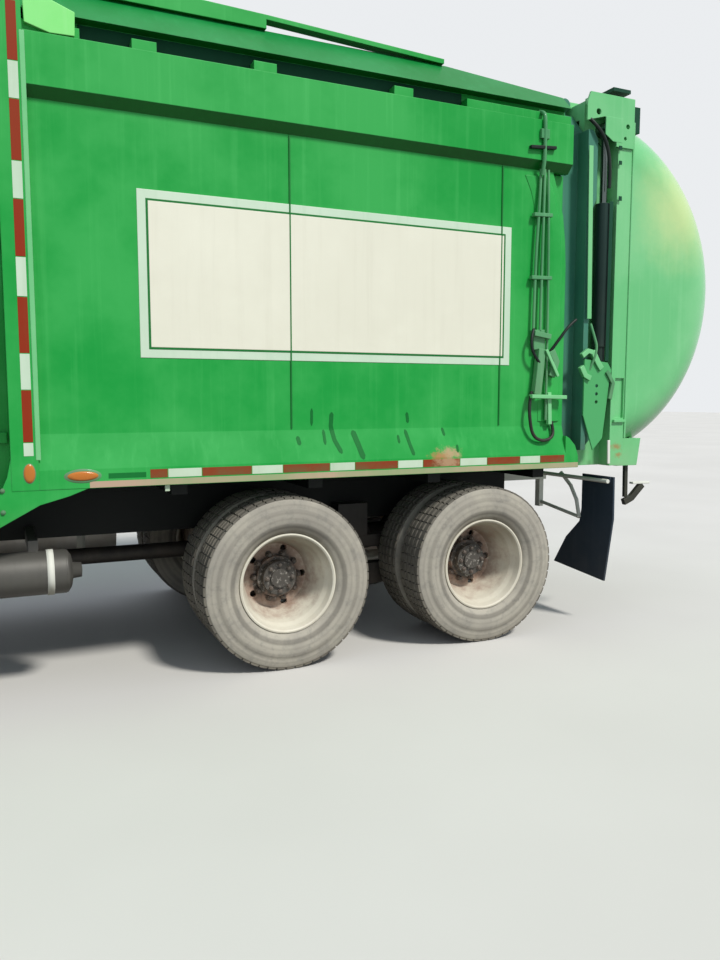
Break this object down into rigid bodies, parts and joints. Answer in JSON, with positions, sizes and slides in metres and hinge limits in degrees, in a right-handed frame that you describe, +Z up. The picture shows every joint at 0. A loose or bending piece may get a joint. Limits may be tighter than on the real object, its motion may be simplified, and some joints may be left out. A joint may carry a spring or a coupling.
{
  "type": "front-loading garbage truck",
  "caption": "Cab-over garbage truck with a domed tailgate, an open hopper, lifting arms and forks over the cab.",
  "frame": {"origin": "on the ground under the middle of the truck's overall length and width", "axes": "+X forward, +Y to the truck's left, +Z up"},
  "size_m": [9.19, 2.5, 3.9097],
  "materials": {
    "green_paint": "glossy, sun-faded and lightly dusted",
    "frame_paint": "satin black with road dust",
    "cab_paint": "glossy white",
    "wheel_paint": "white steel discs, dusty and rust-stained",
    "tyre": "dusty",
    "glass": "lightly tinted",
    "black_plastic": "grained",
    "flap_rubber": "dusty",
    "steel": "bare and greasy",
    "rod_chrome": "polished",
    "cast_iron": "oily",
    "aluminium": "weathered",
    "lamp_clear": "clear",
    "lamp_red": "ribbed",
    "seat_cloth": "woven"
  },
  "bodies": {
    "chassis": {"arm_towers": "frame_paint", "battery_box": "frame_paint", "body_shell": "green_paint", "bumper": "frame_paint", "cab_glass": "glass", "cab_shell": "cab_paint", "cab_steps": "cab_paint", "dashboard": "black_plastic", "door_rails": "green_paint", "drive_axles": "cast_iron", "engine": "cast_iron", "flap_hangers": "steel", "frame_rails": "frame_paint", "front_axle": "cast_iron", "front_fenders": "black_plastic", "front_posts": "green_paint", "fuel_tank": "aluminium", "grille": "black_plastic", "headlamps": "lamp_clear", "hopper": "green_paint", "mirrors": "black_plastic", "mud_flaps": "flap_rubber", "rear_frame": "green_paint", "seats": "seat_cloth", "side_muffler": "aluminium", "springs": "cast_iron", "subframe": "frame_paint"},
    "drive_pair_front_left": {"drive_tyres_front_left": "tyre", "drive_wheels_front_left": "wheel_paint"},
    "drive_pair_rear_left": {"drive_tyres_rear_left": "tyre", "drive_wheels_rear_left": "wheel_paint"},
    "knuckle_left": {"knuckle_left": "cast_iron"},
    "steer_pair_left": {"steer_tyre_left": "tyre", "steer_wheel_left": "wheel_paint"},
    "cab_door_left": {"cab_door_left": "cab_paint", "door_glass_left": "glass"},
    "drive_pair_front_right": {"drive_tyres_front_right": "tyre", "drive_wheels_front_right": "wheel_paint"},
    "drive_pair_rear_right": {"drive_tyres_rear_right": "tyre", "drive_wheels_rear_right": "wheel_paint"},
    "knuckle_right": {"knuckle_right": "cast_iron"},
    "steer_pair_right": {"steer_tyre_right": "tyre", "steer_wheel_right": "wheel_paint"},
    "cab_door_right": {"cab_door_right": "cab_paint", "door_glass_right": "glass"},
    "lift_arms": {"lift_arms": "green_paint", "arm_brackets": "green_paint"},
    "lift_barrels": {"lift_barrels": "frame_paint"},
    "lift_rods": {"lift_rods": "rod_chrome"},
    "forks": {"forks": "steel", "fork_cranks": "green_paint"},
    "fork_barrels": {"fork_barrels": "frame_paint"},
    "fork_rods": {"fork_rods": "rod_chrome"},
    "tailgate": {"tailgate_frame": "green_paint", "tailgate_dome": "green_paint", "tail_lamps": "lamp_red"},
    "ram_barrels": {"ram_barrels": "frame_paint"},
    "ram_rods": {"ram_rods": "rod_chrome"},
    "top_door": {"top_door": "green_paint"},
    "packer": {"packer_panel": "steel"}
  },
  "joints": [
    {"name": "drive_front_left_spin", "type": "hinge", "parent": "chassis", "child": "drive_pair_front_left", "pos_m": [-1.175, 0.901, 0.52], "axis": [0, 1, 0], "continuous": true},
    {"name": "drive_rear_left_spin", "type": "hinge", "parent": "chassis", "child": "drive_pair_rear_left", "pos_m": [-2.545, 0.901, 0.52], "axis": [0, 1, 0], "continuous": true},
    {"name": "steer_left", "type": "hinge", "parent": "chassis", "child": "knuckle_left", "pos_m": [3.19, 0.83, 0.52], "axis": [0, 0, 1], "range_deg": [-35, 35]},
    {"name": "steer_left_spin", "type": "hinge", "parent": "knuckle_left", "child": "steer_pair_left", "pos_m": [3.19, 1.04, 0.52], "axis": [0, 1, 0], "continuous": true},
    {"name": "cab_door_left_hinge", "type": "hinge", "parent": "chassis", "child": "cab_door_left", "pos_m": [4.266, 0.926, 1.9], "axis": [0, 0, -1], "range_deg": [0, 75]},
    {"name": "drive_front_right_spin", "type": "hinge", "parent": "chassis", "child": "drive_pair_front_right", "pos_m": [-1.175, -0.901, 0.52], "axis": [0, 1, 0], "continuous": true},
    {"name": "drive_rear_right_spin", "type": "hinge", "parent": "chassis", "child": "drive_pair_rear_right", "pos_m": [-2.545, -0.901, 0.52], "axis": [0, 1, 0], "continuous": true},
    {"name": "steer_right", "type": "hinge", "parent": "chassis", "child": "knuckle_right", "pos_m": [3.19, -0.83, 0.52], "axis": [0, 0, 1], "range_deg": [-35, 35]},
    {"name": "steer_right_spin", "type": "hinge", "parent": "knuckle_right", "child": "steer_pair_right", "pos_m": [3.19, -1.04, 0.52], "axis": [0, 1, 0], "continuous": true},
    {"name": "cab_door_right_hinge", "type": "hinge", "parent": "chassis", "child": "cab_door_right", "pos_m": [4.266, -0.926, 1.9], "axis": [0, 0, 1], "range_deg": [0, 75]},
    {"name": "arm_lift", "type": "hinge", "parent": "chassis", "child": "lift_arms", "pos_m": [2.56, 0, 1.65], "axis": [0, -1, 0], "range_deg": [-67, 68]},
    {"name": "lift_barrel_swing", "type": "hinge", "parent": "chassis", "child": "lift_barrels", "pos_m": [0.96, 0, 1.07], "axis": [0, -1, 0], "range_deg": [-1.32, 1.34]},
    {"name": "lift_rod_slide", "type": "slide", "parent": "lift_barrels", "child": "lift_rods", "axis": [0.9847, 0, 0.1742], "range_m": [-0.28614, 0.29041]},
    {"name": "fork_tilt", "type": "hinge", "parent": "lift_arms", "child": "forks", "pos_m": [4.233, 0, 3.508], "axis": [0, -1, 0], "range_deg": [-97, 0]},
    {"name": "fork_barrel_swing", "type": "hinge", "parent": "lift_arms", "child": "fork_barrels", "pos_m": [3.04, 0, 3.48], "axis": [0, -1, 0], "range_deg": [-1.79, 0]},
    {"name": "fork_rod_slide", "type": "slide", "parent": "fork_barrels", "child": "fork_rods", "axis": [0.9903, 0, 0.1388], "range_m": [0, 0.28063]},
    {"name": "tailgate_lift", "type": "hinge", "parent": "chassis", "child": "tailgate", "pos_m": [-3.28, 0, 3.62], "axis": [0, 1, 0], "range_deg": [0, 85]},
    {"name": "ram_barrel_swing", "type": "hinge", "parent": "chassis", "child": "ram_barrels", "pos_m": [-3.46, 0, 1.8], "axis": [0, -1, 0], "range_deg": [0, 1.06]},
    {"name": "ram_rod_slide", "type": "slide", "parent": "ram_barrels", "child": "ram_rods", "axis": [0, 0, 1], "range_m": [0, 0.3803]},
    {"name": "top_door_slide", "type": "slide", "parent": "chassis", "child": "top_door", "axis": [-1, 0, 0], "range_m": [-1.38, 1.06]},
    {"name": "packer_slide", "type": "slide", "parent": "chassis", "child": "packer", "axis": [1, 0, 0], "range_m": [-1.8, 0]}
  ],
  "couplings": [
    {"joint": "steer_right", "follows": "steer_left", "ratio": 1},
    {"joint": "lift_barrel_swing", "follows": "arm_lift", "ratio": 0.018821},
    {"joint": "lift_rod_slide", "follows": "arm_lift", "m_per_rad": 0.23304},
    {"joint": "fork_barrel_swing", "follows": "fork_tilt", "ratio": 0.017565},
    {"joint": "fork_rod_slide", "follows": "fork_tilt", "m_per_rad": -0.15787},
    {"joint": "ram_barrel_swing", "follows": "tailgate_lift", "ratio": 0.011878},
    {"joint": "ram_rod_slide", "follows": "tailgate_lift", "m_per_rad": 0.24414}
  ]
}
